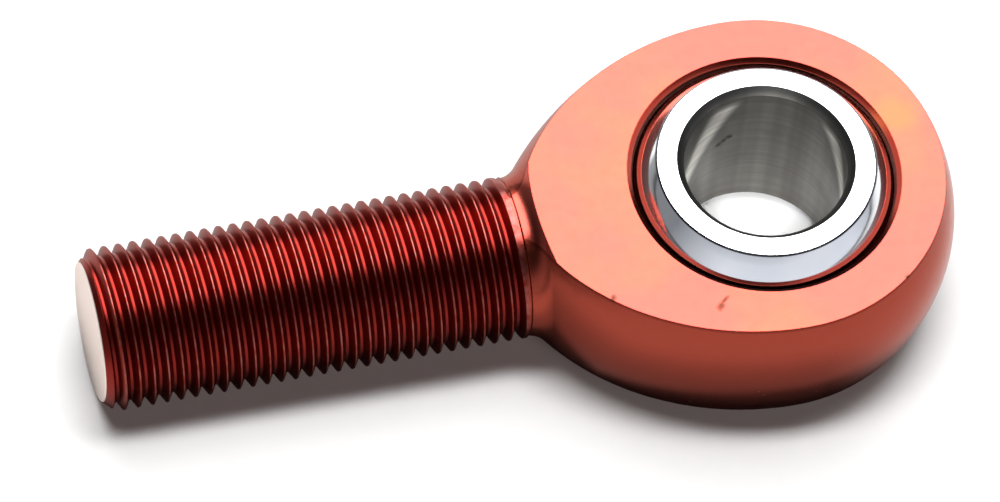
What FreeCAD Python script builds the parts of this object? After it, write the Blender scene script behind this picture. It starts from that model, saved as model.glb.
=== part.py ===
"""Rod end bearing, 5/8 inch bore, 5/8-18 UNF right-hand male shank. Millimetres.

The origin is the centre of the ball. +Z is the axis of the ball's bore. The threaded shank points
along -X. Four solids: the rod end body, the race insert it holds, the liner bonded in the race,
and the ball.
"""
import FreeCAD, Part
import math
import os

INCH = 25.4

# Thread and shank
THREAD_PITCH = INCH / 18
THREAD_R = 0.625 * INCH / 2
THREAD_DEPTH = 0.6134 * THREAD_PITCH
SHANK_END_X = -66.5
SHANK_END_R = 6.75
THREAD_END_X = -24.75
CREST_PHASE_X = -25.82  # a crest crosses the XY plane on the +Y side at this X
RUN_OUT_TURNS = 0.5
ROOT_HALF_FLAT = THREAD_PITCH / 10
CUTTER_LIFT = 0.10  # how far the groove cutter stands proud of the shank
TURNS_PER_SWEEP = 6
RUN_OUT_POINTS = 24
BEVEL_OVERSHOOT = 1.0  # how far the end bevel's cutter reaches past the shank
ROOT_R = THREAD_R - THREAD_DEPTH
NECK_R = 7.75

# Eye: turned together with the shank, then faced on both sides
EYE_R = 19.10
TAPER_ARC_R = 30.0
NECK_FILLET_R = 2.5
EYE_HALF_WIDTH = 7.35
FACING_R = 22.87

# Socket in the eye
LIP_INNER_R = 12.86
LIP_CHAMFER_R = 13.36
RACE_POCKET_R = 16.40
RACE_POCKET_HALF = 5.30

# Ball
BALL_R = 1.125 * INCH / 2
BALL_HALF_WIDTH = 0.750 * INCH / 2
BORE_R = 0.625 * INCH / 2
BORE_CHAMFER = 0.74
BALL_EDGE_BREAK = 0.12

# Race insert and liner: the gaps either side of the liner keep the moving solids apart
RUNNING_GAP = 0.02
LINER_THICKNESS = 0.25
LINER_HALF_WIDTH = 6.20
LIP_TO_LINER_GAP = 0.05
PRESS_SEAT_GAP = 0.01
RACE_CHAMFER = 0.60

LINER_INNER_R = BALL_R + RUNNING_GAP
LINER_OUTER_R = LINER_INNER_R + LINER_THICKNESS
RACE_INNER_R = LINER_OUTER_R + RUNNING_GAP
LIP_SPHERE_R = LINER_OUTER_R + LIP_TO_LINER_GAP

X_AXIS = FreeCAD.Vector(1, 0, 0)
Y_AXIS = FreeCAD.Vector(0, 1, 0)
Z_AXIS = FreeCAD.Vector(0, 0, 1)
ORIGIN = FreeCAD.Vector(0, 0, 0)


def about_x(x, r):
    """A point of a profile that is turned about the shank axis."""
    return FreeCAD.Vector(x, 0, r)


def about_z(r, z):
    """A point of a profile that is turned about the bore axis."""
    return FreeCAD.Vector(r, 0, z)


def line(a, b):
    return Part.makeLine(a, b)


def arc(a, middle, b):
    return Part.Arc(a, middle, b).toShape()


def turned(edges, axis, angle=360):
    return Part.Face(Part.Wire(edges)).revolve(ORIGIN, axis, angle)


def on_circle(centre_x, centre_r, radius, x, side):
    """The profile point at station x on a circle; side is +1 for its outer half, -1 for the inner."""
    return about_x(x, centre_r + side * math.sqrt(radius**2 - (x - centre_x) ** 2))


def sphere_r_at(sphere_r, z):
    return math.sqrt(sphere_r**2 - z**2)


def sphere_arc(sphere_r, z0, z1):
    """Profile arc of a sphere about the ball's centre, from height z0 to z1."""
    zm = (z0 + z1) / 2
    return arc(
        about_z(sphere_r_at(sphere_r, z0), z0),
        about_z(sphere_r_at(sphere_r, zm), zm),
        about_z(sphere_r_at(sphere_r, z1), z1),
    )


def turned_blank():
    """Shank, neck and the eye as far as the bore axis, before the eye is faced."""
    taper_centre_r = EYE_R - TAPER_ARC_R
    fillet_centre_r = NECK_R + NECK_FILLET_R
    centres = TAPER_ARC_R + NECK_FILLET_R
    fillet_x = -math.sqrt(centres**2 - (fillet_centre_r - taper_centre_r) ** 2)
    tangent_x = fillet_x * TAPER_ARC_R / centres

    shank_centre = about_x(SHANK_END_X, 0)
    shank_corner = about_x(SHANK_END_X, THREAD_R)
    shank_stop = about_x(THREAD_END_X, THREAD_R)
    neck_start = about_x(THREAD_END_X + THREAD_R - NECK_R, NECK_R)
    fillet_start = about_x(fillet_x, NECK_R)
    fillet_mid = on_circle(fillet_x, fillet_centre_r, NECK_FILLET_R, (fillet_x + tangent_x) / 2, -1)
    fillet_stop = on_circle(fillet_x, fillet_centre_r, NECK_FILLET_R, tangent_x, -1)
    taper_mid = on_circle(0, taper_centre_r, TAPER_ARC_R, tangent_x / 2, 1)
    eye_top = about_x(0, EYE_R)

    return turned(
        [
            line(shank_centre, shank_corner),
            line(shank_corner, shank_stop),
            line(shank_stop, neck_start),
            line(neck_start, fillet_start),
            arc(fillet_start, fillet_mid, fillet_stop),
            arc(fillet_stop, taper_mid, eye_top),
            line(eye_top, ORIGIN),
            line(ORIGIN, shank_centre),
        ],
        X_AXIS,
    )


def far_half_of_eye():
    """The faced half of the spherical eye beyond the bore axis, away from the shank."""
    flat_r = sphere_r_at(EYE_R, EYE_HALF_WIDTH)
    top = about_z(flat_r, EYE_HALF_WIDTH)
    bottom = about_z(flat_r, -EYE_HALF_WIDTH)
    top_centre = about_z(0, EYE_HALF_WIDTH)
    bottom_centre = about_z(0, -EYE_HALF_WIDTH)
    half = turned(
        [
            sphere_arc(EYE_R, -EYE_HALF_WIDTH, EYE_HALF_WIDTH),
            line(top, top_centre),
            line(top_centre, bottom_centre),
            line(bottom_centre, bottom),
        ],
        Z_AXIS,
        180,
    )
    half.rotate(ORIGIN, Z_AXIS, -90)
    return half


def facing_cutter(side):
    """Everything above (+1) or below (-1) the eye's face, out to the facing radius."""
    base = FreeCAD.Vector(0, 0, side * EYE_HALF_WIDTH)
    return Part.makeCylinder(FACING_R, 2 * EYE_R, base, Z_AXIS * side)


def socket_cutter():
    """The hollow in the eye: a chamfered mouth, a spherical lip and the pocket for the race."""
    lip_z = math.sqrt(LIP_SPHERE_R**2 - LIP_INNER_R**2)
    pocket_r = sphere_r_at(LIP_SPHERE_R, RACE_POCKET_HALF)
    upper = [
        (pocket_r, RACE_POCKET_HALF),
        (LIP_INNER_R, lip_z),
        (LIP_CHAMFER_R, EYE_HALF_WIDTH),
        (0, EYE_HALF_WIDTH),
    ]
    edges = []
    for side in (1, -1):
        pocket, lip, mouth, centre = [about_z(r, side * z) for r, z in upper]
        pocket_corner = about_z(RACE_POCKET_R, side * RACE_POCKET_HALF)
        edges += [
            line(pocket_corner, pocket),
            sphere_arc(LIP_SPHERE_R, side * RACE_POCKET_HALF, side * lip_z),
            line(lip, mouth),
            line(mouth, centre),
        ]
    edges.append(
        line(about_z(RACE_POCKET_R, RACE_POCKET_HALF), about_z(RACE_POCKET_R, -RACE_POCKET_HALF))
    )
    edges.append(line(about_z(0, EYE_HALF_WIDTH), about_z(0, -EYE_HALF_WIDTH)))
    return turned(Part.__sortEdges__(edges), Z_AXIS)


def end_chamfer_cutter():
    """The ring that bevels the shank's free end at 45 degrees, cut after the thread."""
    start_x = SHANK_END_X - BEVEL_OVERSHOOT
    start_r = SHANK_END_R - BEVEL_OVERSHOOT
    length = 2 * (THREAD_R - start_r)
    bevel_start = about_x(start_x, start_r)
    bevel_end = about_x(start_x + length, start_r + length)
    outer_corner = about_x(start_x, start_r + length)
    return turned(
        [
            line(bevel_start, bevel_end),
            line(bevel_end, outer_corner),
            line(outer_corner, bevel_start),
        ],
        X_AXIS,
    )


def groove_section():
    """The 60 degree groove in section, on the XZ plane of a thread whose axis is Z."""
    top_half = ROOT_HALF_FLAT + (THREAD_DEPTH + CUTTER_LIFT) * math.tan(math.radians(30))
    top_r = ROOT_R + THREAD_DEPTH + CUTTER_LIFT
    return Part.makePolygon([
        FreeCAD.Vector(ROOT_R, 0, -ROOT_HALF_FLAT),
        FreeCAD.Vector(ROOT_R, 0, ROOT_HALF_FLAT),
        FreeCAD.Vector(top_r, 0, top_half),
        FreeCAD.Vector(top_r, 0, -top_half),
        FreeCAD.Vector(ROOT_R, 0, -ROOT_HALF_FLAT),
    ])


def swept(path, x):
    """Sweep the groove along a path that starts at height 0, then lay it on the shank from x on."""
    sweep = Part.BRepOffsetAPI.MakePipeShell(path)
    sweep.setBiNormalMode(Z_AXIS)
    sweep.add(groove_section(), False, False)
    sweep.build()
    sweep.makeSolid()
    cutter = sweep.shape()
    # the groove runs half a pitch behind the crest; laying Z over onto X turns it a quarter turn
    turns_from_crest = (x - CREST_PHASE_X) / THREAD_PITCH + 0.5
    cutter.rotate(ORIGIN, Z_AXIS, 360 * turns_from_crest + 90)
    cutter.rotate(ORIGIN, Y_AXIS, 90)
    cutter.translate(X_AXIS * x)
    return cutter


def groove_run(x):
    """A few turns of full-depth groove; a longer sweep than this loses accuracy."""
    return swept(Part.makeHelix(THREAD_PITCH, TURNS_PER_SWEEP * THREAD_PITCH, ROOT_R), x)


def groove_run_out(x):
    """The last part turn, where the groove rises out of the shank."""
    points = []
    for i in range(RUN_OUT_POINTS + 1):
        share = i / RUN_OUT_POINTS
        angle = 2 * math.pi * RUN_OUT_TURNS * share
        r = ROOT_R + (THREAD_DEPTH + 2 * CUTTER_LIFT) * share**2
        z = RUN_OUT_TURNS * THREAD_PITCH * share
        points.append(FreeCAD.Vector(r * math.cos(angle), r * math.sin(angle), z))
    path = Part.BSplineCurve()
    path.interpolate(points)
    return swept(Part.Wire([path.toShape()]), x)


def threaded(body):
    full_end_x = THREAD_END_X - RUN_OUT_TURNS * THREAD_PITCH
    sweep_length = TURNS_PER_SWEEP * THREAD_PITCH
    sweeps = math.ceil((full_end_x - SHANK_END_X) / sweep_length)
    for i in range(sweeps, 0, -1):
        body = body.cut(groove_run(full_end_x - i * sweep_length))
    return body.cut(groove_run_out(full_end_x))


def rod_end_body():
    body = turned_blank()
    for side in (1, -1):
        body = body.cut(facing_cutter(side))
    body = body.fuse(far_half_of_eye()).removeSplitter()
    body = body.cut(socket_cutter())
    return threaded(body).cut(end_chamfer_cutter())


def race_insert():
    """A steel ring with a spherical inside; its outer corners are broken so the lips seat on it."""
    outer_r = RACE_POCKET_R - PRESS_SEAT_GAP
    half = RACE_POCKET_HALF - PRESS_SEAT_GAP
    inner_r = sphere_r_at(RACE_INNER_R, half)
    corners = []
    for side in (1, -1):
        corners.append([
            about_z(inner_r, side * half),
            about_z(outer_r - RACE_CHAMFER, side * half),
            about_z(outer_r, side * (half - RACE_CHAMFER)),
        ])
    top, bottom = corners
    edges = [
        line(top[0], top[1]),
        line(top[1], top[2]),
        line(top[2], bottom[2]),
        line(bottom[2], bottom[1]),
        line(bottom[1], bottom[0]),
        sphere_arc(RACE_INNER_R, -half, half),
    ]
    return turned(edges, Z_AXIS)


def ptfe_liner():
    """A thin shell of even thickness between race and ball, cut off square at both edges."""
    half = LINER_HALF_WIDTH
    inner = sphere_r_at(LINER_INNER_R, half)
    outer = sphere_r_at(LINER_OUTER_R, half)
    edges = [
        sphere_arc(LINER_INNER_R, -half, half),
        line(about_z(inner, half), about_z(outer, half)),
        sphere_arc(LINER_OUTER_R, half, -half),
        line(about_z(outer, -half), about_z(inner, -half)),
    ]
    return turned(edges, Z_AXIS)


def ball():
    """A sphere with two flat faces and a chamfered through bore."""
    face_r = sphere_r_at(BALL_R, BALL_HALF_WIDTH)
    shoulder_z = BALL_HALF_WIDTH - BALL_EDGE_BREAK
    shoulder_r = sphere_r_at(BALL_R, shoulder_z)
    land_z = BALL_HALF_WIDTH - BORE_CHAMFER
    corners = []
    for side in (1, -1):
        corners.append([
            about_z(BORE_R, side * land_z),
            about_z(BORE_R + BORE_CHAMFER, side * BALL_HALF_WIDTH),
            about_z(face_r - BALL_EDGE_BREAK, side * BALL_HALF_WIDTH),
            about_z(shoulder_r, side * shoulder_z),
        ])
    top, bottom = corners
    edges = [
        line(bottom[0], top[0]),
        line(top[0], top[1]),
        line(top[1], top[2]),
        line(top[2], top[3]),
        sphere_arc(BALL_R, shoulder_z, -shoulder_z),
        line(bottom[3], bottom[2]),
        line(bottom[2], bottom[1]),
        line(bottom[1], bottom[0]),
    ]
    return turned(edges, Z_AXIS)


PIECES = {
    "rod_end_body": rod_end_body,
    "race_insert": race_insert,
    "ptfe_liner": ptfe_liner,
    "ball": ball,
}

os.makedirs("parts", exist_ok=True)
for name, make in PIECES.items():
    shape = make()
    solid = shape.Solids[0]
    print(name, "solids", len(shape.Solids), "valid", solid.isValid(), "volume", round(solid.Volume, 2))
    solid.exportStep(f"parts/{name}.step")
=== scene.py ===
import math

import bpy
from mathutils import Matrix, Vector


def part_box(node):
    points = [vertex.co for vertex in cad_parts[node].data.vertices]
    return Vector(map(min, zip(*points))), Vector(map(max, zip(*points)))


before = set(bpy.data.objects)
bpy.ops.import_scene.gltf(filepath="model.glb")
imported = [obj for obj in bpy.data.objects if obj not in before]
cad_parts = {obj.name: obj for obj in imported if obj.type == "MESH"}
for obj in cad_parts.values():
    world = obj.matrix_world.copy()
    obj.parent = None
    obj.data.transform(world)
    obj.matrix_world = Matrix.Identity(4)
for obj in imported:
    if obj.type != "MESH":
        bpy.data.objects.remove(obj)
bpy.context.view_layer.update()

# Sizes read from the CAD frame, in metres
body_low_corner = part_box("rod_end_body")[0]
ball_high_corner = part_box("ball")[1]
SHANK_END_X = body_low_corner[0]
BALL_HALF_WIDTH = ball_high_corner[2]

# Sizes the looks need, in metres
THREAD_R = 0.0079375
BORE_R = 0.0079375
THREAD_STOP_X = -0.02475
EYE_FACE_Z = 0.00735
BALL_FACE_R = 0.01053
BORE_CHAMFER = 0.00074
FACE_MARKS = [  # small brown strokes on the upper face: x, y, length, width, direction in degrees
    (-0.0079, -0.0137, 0.0015, 0.0009, 60),
    (-0.0074, -0.0131, 0.0017, 0.0005, 40),
    (-0.0178, -0.0107, 0.0010, 0.0007, 70),
    (0.0106, -0.0141, 0.0008, 0.0006, 30),
]
BRIGHT_STREAKS = [  # painted highlights in the bore: angle at mid height in degrees, turn in radians per metre, strength
    (136, -70, 1.0),
    (-25, 99, 1.0),
]
BORE_SCRATCH = [  # points along it
    (-0.0021, 0.00765, 0.0013),
    (-0.0016, 0.00777, 0.0017),
    (-0.0011, 0.00786, 0.0021),
]
EYE_R = 0.0191
LIP_OUTER_R = 0.01522  # the lip bevel's outer edge, from the ball's centre

# The floor's shade in reflections: strength, gap from the part where it ends, gap where it is full
REFLECTED_SHADES = [
    (0.42, 0.0045, 0.002),
    (0.50, 0.024, 0.004),
]
FAR_LEFT_SHADE = 0.75
FAR_LEFT_START_X = -0.085
FAR_LEFT_FULL_X = -0.12

# The room, which is seen in reflections only
HORIZON_COLOUR = (0.92, 0.94, 1.0, 1)
MIDDLE_COLOUR = (0.84, 0.86, 0.92, 1)
OVERHEAD_COLOUR = (0.05, 0.05, 0.055, 1)
MIDDLE_HEIGHT = 0.28
OVERHEAD_HEIGHT = 0.62
ROOM_FRONT = (0.15, -0.98, 0.0)
BRIGHTNESS_BEHIND = 0.30

# The camera, in degrees and metres
CAMERA_AZIMUTH = 19.79
CAMERA_ELEVATION = 58.21
CAMERA_ROLL = -6.936
CAMERA_DISTANCE = 0.9174
AIM = Vector((-0.025655, 0.000909, 0.0))
LENS_MM = 341.3


# ---------------------------------------------------------------- node helpers


class Nodes:
    """A material's node tree with short names for the few node kinds used here."""

    def __init__(self, name):
        self.material = bpy.data.materials.new(name)
        self.material.use_nodes = True
        self.tree = self.material.node_tree
        self.tree.nodes.clear()
        self.output = self.node("ShaderNodeOutputMaterial")
        coords = self.node("ShaderNodeTexCoord")
        self.position = coords.outputs["Object"]
        split = self.node("ShaderNodeSeparateXYZ")
        self.link(self.position, split.inputs[0])
        self.x, self.y, self.z = split.outputs

    def node(self, kind, **settings):
        made = self.tree.nodes.new(kind)
        for key, value in settings.items():
            setattr(made, key, value)
        return made

    def link(self, source, target):
        self.tree.links.new(source, target)

    def put(self, socket, value):
        """Set a socket to a number or colour, or join it to another node's output."""
        if isinstance(value, bpy.types.NodeSocket):
            self.link(value, socket)
        else:
            socket.default_value = value

    def math(self, operation, a, b=0.0, clamp=False):
        made = self.node("ShaderNodeMath", operation=operation, use_clamp=clamp)
        self.put(made.inputs[0], a)
        self.put(made.inputs[1], b)
        return made.outputs[0]

    def ramp(self, value, low, high):
        """0 below low and 1 above high, with a smooth step between; low may exceed high."""
        made = self.node("ShaderNodeMapRange", interpolation_type="SMOOTHSTEP")
        flipped = low > high
        self.put(made.inputs["Value"], value)
        made.inputs["From Min"].default_value = min(low, high)
        made.inputs["From Max"].default_value = max(low, high)
        made.inputs["To Min"].default_value = 1.0 if flipped else 0.0
        made.inputs["To Max"].default_value = 0.0 if flipped else 1.0
        return made.outputs["Result"]

    def scale_to(self, value, low, high):
        made = self.node("ShaderNodeMapRange")
        self.put(made.inputs["Value"], value)
        made.inputs["To Min"].default_value = low
        made.inputs["To Max"].default_value = high
        return made.outputs["Result"]

    def mix(self, factor, a, b):
        made = self.node("ShaderNodeMix", data_type="RGBA")
        self.put(made.inputs["Factor"], factor)
        self.put(made.inputs["A"], a)
        self.put(made.inputs["B"], b)
        return made.outputs["Result"]

    def blend(self, factor, a, b):
        made = self.node("ShaderNodeMix", data_type="FLOAT")
        self.put(made.inputs["Factor"], factor)
        self.put(made.inputs["A"], a)
        self.put(made.inputs["B"], b)
        return made.outputs["Result"]

    def noise(self, size, detail=3.0, stretch=(1, 1, 1), offset=(0, 0, 0), roughness=0.5):
        """Noise whose features are about size metres across."""
        place = self.node("ShaderNodeMapping")
        self.link(self.position, place.inputs["Vector"])
        place.inputs["Scale"].default_value = [s / size for s in stretch]
        place.inputs["Location"].default_value = offset
        made = self.node("ShaderNodeTexNoise")
        self.link(place.outputs[0], made.inputs["Vector"])
        made.inputs["Scale"].default_value = 1.0
        made.inputs["Detail"].default_value = detail
        made.inputs["Roughness"].default_value = roughness
        return made.outputs["Fac"]

    def radius(self, a, b):
        squares = self.math("ADD", self.math("MULTIPLY", a, a), self.math("MULTIPLY", b, b))
        return self.math("SQRT", squares)

    def radius3(self):
        """Distance from the ball's centre."""
        made = self.node("ShaderNodeVectorMath", operation="LENGTH")
        self.link(self.position, made.inputs[0])
        return made.outputs["Value"]

    def lines(self, distance, pitch, wobble=0.0):
        """Tool marks as noise that varies along one distance only."""
        combine = self.node("ShaderNodeCombineXYZ")
        self.put(combine.inputs[0], self.math("DIVIDE", distance, pitch))
        self.put(combine.inputs[1], wobble)
        made = self.node("ShaderNodeTexNoise")
        self.link(combine.outputs[0], made.inputs["Vector"])
        made.inputs["Scale"].default_value = 1.0
        made.inputs["Detail"].default_value = 2.0
        return made.outputs["Fac"]

    def spot(self, centre, size, noise):
        """A soft irregular mark on the surface, 1 at its middle."""
        offset = self.node("ShaderNodeVectorMath", operation="DISTANCE")
        self.link(self.position, offset.inputs[0])
        offset.inputs[1].default_value = centre
        wavy = self.math("ADD", offset.outputs["Value"], self.math("MULTIPLY", noise, size * 0.8))
        return self.ramp(wavy, size * 1.5, size * 0.5)

    def stroke(self, centre, length, width, direction, noise):
        """A soft irregular stroke across the face, 1 along its middle."""
        place = self.node("ShaderNodeMapping", vector_type="TEXTURE")
        self.link(self.position, place.inputs["Vector"])
        place.inputs["Location"].default_value = centre
        place.inputs["Rotation"].default_value = (0, 0, math.radians(direction))
        place.inputs["Scale"].default_value = (length / 2, width / 2, width / 2)
        distance = self.node("ShaderNodeVectorMath", operation="LENGTH")
        self.link(place.outputs[0], distance.inputs[0])
        wavy = self.math("ADD", distance.outputs["Value"], self.math("MULTIPLY", noise, 0.8))
        return self.ramp(wavy, 1.5, 0.7)

    def soft_edges(self, radius):
        """The surface normal with the corners rounded over."""
        made = self.node("ShaderNodeBevel", samples=6)
        made.inputs["Radius"].default_value = radius
        return made.outputs[0]

    def bump(self, height, distance, strength, normal):
        made = self.node("ShaderNodeBump")
        self.put(made.inputs["Height"], height)
        made.inputs["Distance"].default_value = distance
        made.inputs["Strength"].default_value = strength
        self.put(made.inputs["Normal"], normal)
        return made.outputs[0]

    def metal(self, colour, roughness, normal, metallic=1.0, edge=(1, 1, 1, 1)):
        shader = self.node("ShaderNodeBsdfPrincipled")
        self.put(shader.inputs["Base Color"], colour)
        self.put(shader.inputs["Metallic"], metallic)
        self.put(shader.inputs["Roughness"], roughness)
        self.put(shader.inputs["Normal"], normal)
        shader.inputs["Specular Tint"].default_value = edge
        self.link(shader.outputs[0], self.output.inputs["Surface"])
        return self.material


# ------------------------------------------------------------------- materials


def red_anodised():
    """Dyed oxide over turned aluminium, bare where the shank was cut off and where crests rub."""
    n = Nodes("red_anodised")
    shank_r = n.radius(n.y, n.z)
    bore_r = n.radius(n.x, n.y)
    on_shank = n.ramp(n.x, THREAD_STOP_X, THREAD_STOP_X - 0.0004)
    end_face = n.ramp(n.x, SHANK_END_X + 0.00012, SHANK_END_X + 0.00004)
    flat = n.ramp(n.math("ABSOLUTE", n.z), EYE_FACE_Z - 0.00004, EYE_FACE_Z - 0.00001)

    cloud = n.noise(0.011, detail=2.0)
    fine = n.noise(0.0012, detail=4.0)
    orange = (0.360, 0.067, 0.042, 1)
    rose = (0.350, 0.059, 0.046, 1)
    shaded_side_red = (0.27, 0.046, 0.028, 1)
    mottle_red = (0.29, 0.040, 0.026, 1)
    thread_shade_red = (0.18, 0.016, 0.012, 1)
    lip_shade_red = (0.085, 0.012, 0.008, 1)
    corner_shade_red = (0.10, 0.008, 0.005, 1)
    rubbed_crest = (0.40, 0.22, 0.20, 1)
    bare_aluminium = (0.82, 0.76, 0.70, 1)
    smudge_orange = (0.37, 0.085, 0.030, 1)
    stain_brown = (0.040, 0.018, 0.010, 1)
    dye_and_side_shade = n.mix(n.ramp(cloud, 0.35, 0.65), orange, rose)
    # painted shade: the sides are darker than the flat faces
    dye_and_side_shade = n.mix(flat, shaded_side_red, dye_and_side_shade)
    dye_and_side_shade = n.mix(n.math("MULTIPLY", n.ramp(fine, 0.35, 0.75), 0.12), dye_and_side_shade, mottle_red)

    # painted shade: the colour is darker in the thread, most towards its roots, inside the lip and
    # along the sharp corner of the face
    root_shade = n.ramp(shank_r, THREAD_R - 0.0001, THREAD_R - 0.0005)
    in_thread = n.math("MULTIPLY", on_shank, n.scale_to(root_shade, 0.75, 1.0))
    in_lip = n.ramp(n.radius3(), LIP_OUTER_R, LIP_OUTER_R - 0.00012)
    height = n.math("ABSOLUTE", n.z)
    near_face = n.ramp(height, EYE_FACE_Z - 0.0004, EYE_FACE_Z - 0.0001)
    corner = n.math("MULTIPLY", near_face, n.math("SUBTRACT", 1.0, flat))
    off_shank = n.math("SUBTRACT", 1.0, on_shank)
    corner_shade = n.math("MULTIPLY", corner, n.math("MULTIPLY", off_shank, 0.6))
    colour = n.mix(in_thread, dye_and_side_shade, thread_shade_red)
    # painted shade inside the lip, next to the ball
    colour = n.mix(n.math("MULTIPLY", in_lip, 0.95), colour, lip_shade_red)
    # painted shade along the corner between the face and the sides
    colour = n.mix(corner_shade, colour, corner_shade_red)

    rub = n.ramp(shank_r, THREAD_R - 0.00009, THREAD_R - 0.00002)
    rub = n.math("MULTIPLY", rub, on_shank)
    rub = n.math("MULTIPLY", rub, n.scale_to(n.ramp(n.noise(0.0009), 0.35, 0.65), 0.0, 0.25))
    colour = n.mix(rub, colour, rubbed_crest)
    colour = n.mix(end_face, colour, bare_aluminium)

    smudge = n.spot((0.0142, 0.0039, EYE_FACE_Z), 0.0028, n.noise(0.003))
    colour = n.mix(n.math("MULTIPLY", smudge, 0.5), colour, smudge_orange)
    ragged = n.noise(0.0004, detail=3.0)
    worn = 0.0
    for x, y, length, width, direction in FACE_MARKS:
        mark = n.stroke((x, y, EYE_FACE_Z), length, width, direction, ragged)
        worn = n.math("MAXIMUM", worn, mark)
    colour = n.mix(n.math("MULTIPLY", worn, 0.85), colour, stain_brown)

    face_lines = n.lines(bore_r, 0.00007)
    side_lines = n.lines(n.x, 0.00007)
    tool_marks = n.blend(flat, side_lines, face_lines)
    roughness = n.scale_to(fine, 0.20, 0.30)
    roughness = n.blend(in_thread, roughness, 0.30)
    roughness = n.blend(end_face, roughness, 0.42)
    normal = n.bump(tool_marks, 0.000004, 0.5, n.soft_edges(0.00012))
    return n.metal(colour, roughness, normal, edge=(0.92, 0.78, 0.75, 1))


def chromed_steel():
    """Polished plating on the sphere, ground faces, and a honed unplated bore."""
    n = Nodes("chromed_steel")
    bore_r = n.radius(n.x, n.y)
    in_bore = n.ramp(bore_r, BORE_R + BORE_CHAMFER + 0.00001, BORE_R + BORE_CHAMFER - 0.00003)
    on_face = n.ramp(n.math("ABSOLUTE", n.z), BALL_HALF_WIDTH - 0.00006, BALL_HALF_WIDTH - 0.00001)
    angle = n.math("ARCTAN2", n.y, n.x)

    honed_dark = (0.11, 0.103, 0.092, 1)
    honed_pale = (0.19, 0.182, 0.167, 1)
    smear_grey = (0.085, 0.078, 0.07, 1)
    painted_streak_highlight = (0.95, 0.92, 0.85, 1)
    band_grey = (0.08, 0.075, 0.067, 1)
    scratch_dark = (0.02, 0.018, 0.015, 1)
    plate_cool = (0.74, 0.76, 0.79, 1)
    plate_pale = (0.80, 0.81, 0.83, 1)
    chamfer_shade = (0.05, 0.05, 0.048, 1)

    streaks = n.lines(angle, 0.35)
    smear = n.noise(0.004, detail=3.0)
    honed = n.mix(n.ramp(streaks, 0.3, 0.7), honed_dark, honed_pale)
    honed = n.mix(n.math("MULTIPLY", n.ramp(smear, 0.45, 0.75), 0.5), honed, smear_grey)
    # painted highlight: a bright slanting streak on each side of the bore
    for start, turn_per_metre, strength in BRIGHT_STREAKS:
        centre = n.math("ADD", n.math("MULTIPLY", n.z, turn_per_metre), math.radians(start))
        off_centre = n.math("ABSOLUTE", n.math("SUBTRACT", angle, centre))
        bright = n.ramp(off_centre, math.radians(15), math.radians(3))
        bright = n.math("MULTIPLY", bright, n.scale_to(smear, 0.6, 1.2))
        bright = n.math("MULTIPLY", bright, n.ramp(n.z, 0.0086, 0.0072))
        honed = n.mix(n.math("MULTIPLY", bright, strength), honed, painted_streak_highlight)
    turned = n.ramp(n.lines(n.z, 0.0007), 0.35, 0.6)
    honed = n.mix(n.math("MULTIPLY", turned, 0.3), honed, band_grey)
    for place in BORE_SCRATCH:
        honed = n.mix(n.spot(place, 0.0005, n.noise(0.0005)), honed, scratch_dark)
    plated = n.mix(n.ramp(n.noise(0.006), 0.35, 0.7), plate_cool, plate_pale)
    # painted shade: the bore's chamfer darkens towards the ball's faces
    chamfer_start = BALL_HALF_WIDTH - 1.3 * BORE_CHAMFER
    chamfer_full = BALL_HALF_WIDTH - 0.3 * BORE_CHAMFER
    in_chamfer = n.ramp(n.math("ABSOLUTE", n.z), chamfer_start, chamfer_full)
    honed = n.mix(n.math("MULTIPLY", in_chamfer, 0.9), honed, chamfer_shade)
    colour = n.mix(in_bore, plated, honed)

    fine = n.noise(0.0006, detail=4.0)
    roughness = n.scale_to(fine, 0.05, 0.10)
    roughness = n.blend(on_face, roughness, n.scale_to(fine, 0.14, 0.22))
    roughness = n.blend(in_bore, roughness, n.scale_to(smear, 0.36, 0.46))
    rings = n.lines(bore_r, 0.00006)
    passes = n.lines(n.z, 0.00008)
    marks = n.blend(on_face, passes, rings)
    normal = n.bump(marks, 0.000002, 0.35, n.soft_edges(0.0001))
    return n.metal(colour, roughness, normal)


def race_steel():
    """Plain turned steel with rings round the bore's axis."""
    n = Nodes("race_steel")
    turned = n.lines(n.radius(n.x, n.y), 0.0001)
    colour = n.mix(turned, (0.30, 0.29, 0.28, 1), (0.46, 0.45, 0.43, 1))
    normal = n.bump(turned, 0.000005, 0.5, n.soft_edges(0.0001))
    return n.metal(colour, n.scale_to(n.noise(0.0008), 0.35, 0.5), normal)


def liner_fabric():
    """A woven strip: threads run round the ball and across it."""
    n = Nodes("liner_fabric")
    around = n.math("SINE", n.math("MULTIPLY", n.math("ARCTAN2", n.y, n.x), 260.0))
    across = n.math("SINE", n.math("MULTIPLY", n.z, 18000.0))
    weave = n.math("MULTIPLY", around, across)
    colour = n.mix(n.ramp(weave, -0.6, 0.6), (0.07, 0.018, 0.012, 1), (0.15, 0.035, 0.022, 1))
    normal = n.bump(weave, 0.00002, 0.6, n.soft_edges(0.00005))
    return n.metal(colour, n.scale_to(n.noise(0.0005), 0.6, 0.8), normal, metallic=0.0)


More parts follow.
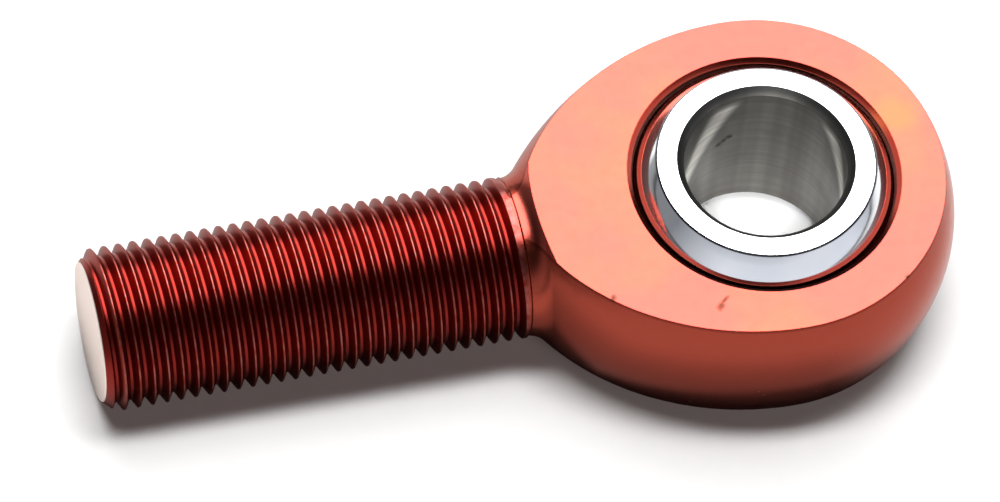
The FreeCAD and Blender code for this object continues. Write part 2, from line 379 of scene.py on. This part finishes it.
def floor_paper():
    """White paper. Only its reflection in the metal shows a wide soft shadow round the part."""
    n = Nodes("floor_paper")
    grain = n.noise(0.002, detail=4.0)
    paper = n.mix(grain, (0.36, 0.36, 0.36, 1), (0.38, 0.38, 0.38, 1))
    from_eye = n.math("SUBTRACT", n.radius(n.x, n.y), EYE_R)
    beside_shank = n.math("SUBTRACT", n.math("ABSOLUTE", n.y), THREAD_R)
    past_end = n.math("MULTIPLY", n.math("SUBTRACT", SHANK_END_X, n.x), 4.0)
    past_shank = n.math("MAXIMUM", past_end, n.x)
    gap = n.math("MINIMUM", from_eye, n.math("MAXIMUM", beside_shank, past_shank))
    shade = 0.0
    for strength, end_gap, full_gap in REFLECTED_SHADES:
        shade = n.math("ADD", shade, n.math("MULTIPLY", n.ramp(gap, end_gap, full_gap), strength))
    reflected = n.node("ShaderNodeLightPath").outputs["Is Glossy Ray"]
    shade = n.math("MULTIPLY", shade, reflected)
    # the floor under the bore stays pale, and the shade fades out under the eye's far side
    outside_bore = n.ramp(n.radius(n.x, n.y), BORE_R + 0.001, BORE_R + 0.003)
    shade = n.math("MULTIPLY", shade, outside_bore)
    shade = n.math("MULTIPLY", shade, n.ramp(n.x, 0.018, 0.004))
    far_left = n.math("MULTIPLY", n.ramp(n.x, FAR_LEFT_START_X, FAR_LEFT_FULL_X), reflected)
    shade = n.math("MAXIMUM", shade, n.math("MULTIPLY", far_left, FAR_LEFT_SHADE))
    colour = n.mix(shade, paper, (0, 0, 0, 1))
    normal = n.node("ShaderNodeNewGeometry").outputs["Normal"]
    return n.metal(colour, n.scale_to(grain, 0.75, 0.85), normal, metallic=0.0)


def dress(node, material):
    mesh_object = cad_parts[node]
    for index in range(len(mesh_object.material_slots)):
        mesh_object.material_slots[index].material = material


dress("rod_end_body", red_anodised())
dress("ball", chromed_steel())
dress("race_insert", race_steel())
dress("ptfe_liner", liner_fabric())


# ----------------------------------------------------------- floor and lighting


def look_along(position, target):
    """A rotation whose -Z looks from position to target."""
    return (Vector(target) - Vector(position)).to_track_quat("-Z", "Y").to_euler()


def lay_floor():
    """The part lies on its shank end and on the ball's lower face, so the floor leans a little."""
    shank_foot = Vector((SHANK_END_X + 0.001, 0, -THREAD_R))
    ball_foot = Vector((-BALL_FACE_R, 0, -BALL_HALF_WIDTH))
    slope = (ball_foot - shank_foot).normalized()
    across = Vector((0, 1, 0))
    half_size = 3.0
    corners = []
    for a, b in ((-1, -1), (1, -1), (1, 1), (-1, 1)):
        corners.append(shank_foot + slope * a * half_size + across * b * half_size)
    mesh = bpy.data.meshes.new("floor")
    mesh.from_pydata(corners, [], [(0, 1, 2, 3)])
    floor = bpy.data.objects.new("floor", mesh)
    bpy.context.scene.collection.objects.link(floor)
    mesh.materials.append(floor_paper())


def softbox(name, position, target, width, height, power, colour=(1, 1, 1)):
    """A rectangular lamp of the given size in metres and power in watts, turned to its target."""
    light = bpy.data.lights.new(name, "AREA")
    light.shape = "RECTANGLE"
    light.size = width
    light.size_y = height
    light.energy = power
    light.color = colour
    lamp = bpy.data.objects.new(name, light)
    lamp.location = position
    lamp.rotation_euler = look_along(position, target)
    bpy.context.scene.collection.objects.link(lamp)
    return lamp


def studio_walls():
    """A room round the set: pale near the horizon in front, darker behind and overhead."""
    world = bpy.data.worlds.new("studio")
    bpy.context.scene.world = world
    world.use_nodes = True
    world.cycles_visibility.diffuse = False  # the room is mirrored in metal but lights no matt surface
    tree = world.node_tree
    tree.nodes.clear()
    coords = tree.nodes.new("ShaderNodeTexCoord")
    split = tree.nodes.new("ShaderNodeSeparateXYZ")
    ramp = tree.nodes.new("ShaderNodeValToRGB")
    frontness = tree.nodes.new("ShaderNodeVectorMath")
    shade = tree.nodes.new("ShaderNodeMapRange")
    background = tree.nodes.new("ShaderNodeBackground")
    output = tree.nodes.new("ShaderNodeOutputWorld")
    tree.links.new(coords.outputs["Generated"], split.inputs[0])
    tree.links.new(split.outputs["Z"], ramp.inputs[0])
    frontness.operation = "DOT_PRODUCT"
    tree.links.new(coords.outputs["Generated"], frontness.inputs[0])
    frontness.inputs[1].default_value = ROOM_FRONT
    tree.links.new(frontness.outputs["Value"], shade.inputs["Value"])
    shade.inputs["From Min"].default_value = -0.1
    shade.inputs["From Max"].default_value = 0.65
    shade.inputs["To Min"].default_value = BRIGHTNESS_BEHIND
    shade.inputs["To Max"].default_value = 1.0
    tree.links.new(ramp.outputs[0], background.inputs["Color"])
    tree.links.new(shade.outputs["Result"], background.inputs["Strength"])
    tree.links.new(background.outputs[0], output.inputs["Surface"])
    horizon, overhead = ramp.color_ramp.elements
    horizon.position = 0.0
    horizon.color = HORIZON_COLOUR
    overhead.position = OVERHEAD_HEIGHT
    overhead.color = OVERHEAD_COLOUR
    middle = ramp.color_ramp.elements.new(MIDDLE_HEIGHT)
    middle.color = MIDDLE_COLOUR


def bore_spot():
    """A narrow beam slanting down the bore, so the floor seen through it isn't in shade."""
    mouth = Vector((0, 0, BALL_HALF_WIDTH))
    slant = Vector((-0.178, -0.496, 0.850))
    distance = 0.45
    light = bpy.data.lights.new("bore_spot", "SPOT")
    light.energy = 20.0
    light.spot_size = 2 * math.atan(0.9 * BORE_R / distance)
    light.spot_blend = 0.3
    light.shadow_soft_size = 0.002
    lamp = bpy.data.objects.new("bore_spot", light)
    lamp.location = mouth + slant * distance
    lamp.rotation_euler = look_along(lamp.location, mouth)
    bpy.context.scene.collection.objects.link(lamp)


lay_floor()
studio_walls()
bore_spot()
softbox("softbox_key", (0.07, 0.28, 0.47), (-0.01, 0.0, 0.0), 0.62, 0.86, 11.8)
# these two light matt surfaces only, so the metal doesn't mirror them
overhead = softbox("overhead", (-0.03, 0.0, 0.60), (-0.03, 0.001, 0.0), 0.40, 0.12, 6.0)
overhead.visible_glossy = False
warm = (1.0, 0.82, 0.78)
front_fill = softbox("front_fill", (-0.03, -0.45, 0.35), (-0.03, 0.0, 0.0), 0.50, 0.20, 1.3, warm)
front_fill.visible_glossy = False


# ---------------------------------------------------------------------- camera


def place_camera():
    """Looks down from the near side at the place where the thread meets the neck."""
    azimuth = math.radians(CAMERA_AZIMUTH)
    elevation = math.radians(CAMERA_ELEVATION)
    level = math.cos(elevation)
    back = Vector((-math.sin(azimuth) * level, -math.cos(azimuth) * level, math.sin(elevation)))
    right = (-back).cross(Vector((0, 0, 1))).normalized()
    up = back.cross(right)
    turn = Matrix.Rotation(math.radians(CAMERA_ROLL), 3, -back)
    columns = Matrix((turn @ right, turn @ up, back)).transposed()
    camera = bpy.data.objects.new("camera", bpy.data.cameras.new("camera"))
    camera.data.lens = LENS_MM
    camera.data.sensor_width = 36.0
    camera.data.clip_start = 0.01
    camera.data.clip_end = 20.0
    camera.matrix_world = Matrix.Translation(AIM + back * CAMERA_DISTANCE) @ columns.to_4x4()
    bpy.context.scene.collection.objects.link(camera)
    bpy.context.scene.camera = camera


place_camera()
bpy.context.scene.view_settings.view_transform = "Standard"
